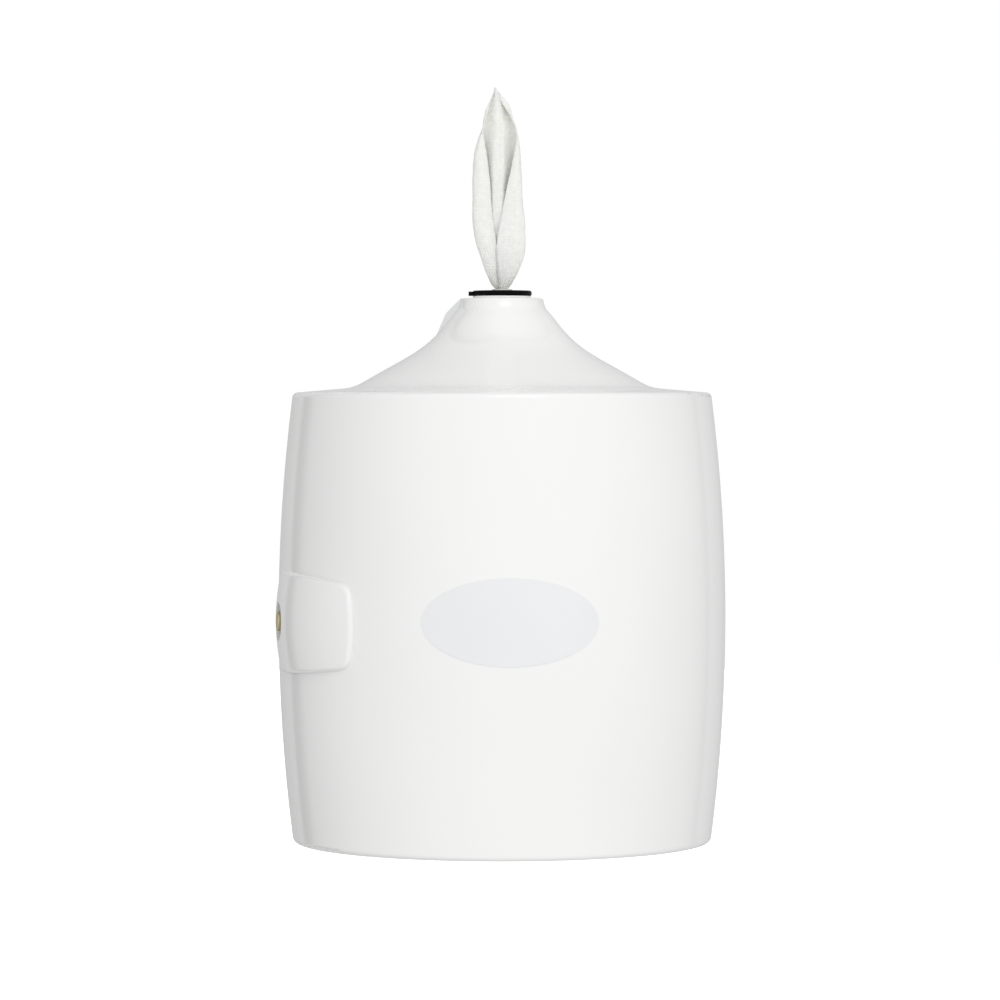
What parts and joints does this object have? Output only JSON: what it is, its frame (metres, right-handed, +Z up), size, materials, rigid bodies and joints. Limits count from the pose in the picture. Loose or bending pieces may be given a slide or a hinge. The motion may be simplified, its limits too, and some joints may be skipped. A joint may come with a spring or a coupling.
{
  "type": "wall-mounted wipes dispenser",
  "caption": "Glossy white barrel-shaped wall dispenser with a bell neck, a centre-pull nozzle with a wipe standing in it, a lockable swinging cover and a roll inside.",
  "frame": {"origin": "on the wall, at the centre of the four wall-screw holes, level with the barrel's widest circle", "axes": "+X to the right seen from the front, +Y into the wall, +Z up; the front faces -Y"},
  "size_m": [0.2813, 0.2783, 0.4733],
  "materials": {
    "cover_plastic": "polished white moulding",
    "housing_plastic": "smooth light grey-white moulding",
    "shelf_plastic": "satin white moulding",
    "collar_plastic": "smooth white moulding",
    "ring_plastic": "satin black",
    "clear_rubber": "pale translucent silicone",
    "label_film": "blank satin film",
    "lock_metal": "dark nickel",
    "lock_brass": "worn brass",
    "zinc_steel": "zinc-plated",
    "zinc_screw": "zinc-plated",
    "pin_steel": "bright steel",
    "wipe_cloth": "moist white non-woven"
  },
  "bodies": {
    "housing": {"rear_housing": "housing_plastic", "roll_shelf": "shelf_plastic", "shelf_screws": "zinc_screw", "strike_bracket": "zinc_steel", "strike_stud": "zinc_steel", "strike_screws": "zinc_screw", "hinge_pin_upper": "pin_steel", "hinge_pin_lower": "pin_steel", "wipe_roll": "wipe_cloth", "wipe_strand": "wipe_cloth"},
    "cover": {"front_cover": "cover_plastic", "front_label": "label_film", "nozzle_collar": "collar_plastic", "lock_body": "lock_metal", "lock_nut": "lock_metal"},
    "nozzle": {"nozzle_ring": "ring_plastic", "nozzle_diaphragm": "clear_rubber"},
    "lock": {"lock_plug": "lock_brass", "lock_wafers": "lock_brass", "lock_cam": "zinc_steel", "cam_washer": "zinc_steel", "cam_screw": "zinc_screw"},
    "wipe": {"wipe": "wipe_cloth"}
  },
  "joints": [
    {"name": "cover_swing", "type": "hinge", "parent": "housing", "child": "cover", "pos_m": [0.135, -0.104, 0], "axis": [0, 0, 1], "range_deg": [0, 110]},
    {"name": "lock_turn", "type": "hinge", "parent": "cover", "child": "lock", "pos_m": [-0.13993, -0.17241, 0], "axis": [0.9877, 0.1564, 0], "range_deg": [0, 90]},
    {"name": "ring_twist", "type": "hinge", "parent": "cover", "child": "nozzle", "pos_m": [0, -0.138, 0.2], "axis": [0, 0, 1], "range_deg": [0, 30]},
    {"name": "wipe_pull", "type": "slide", "parent": "cover", "child": "wipe", "axis": [0, 0, 1], "range_m": [0, 0.06]}
  ]
}
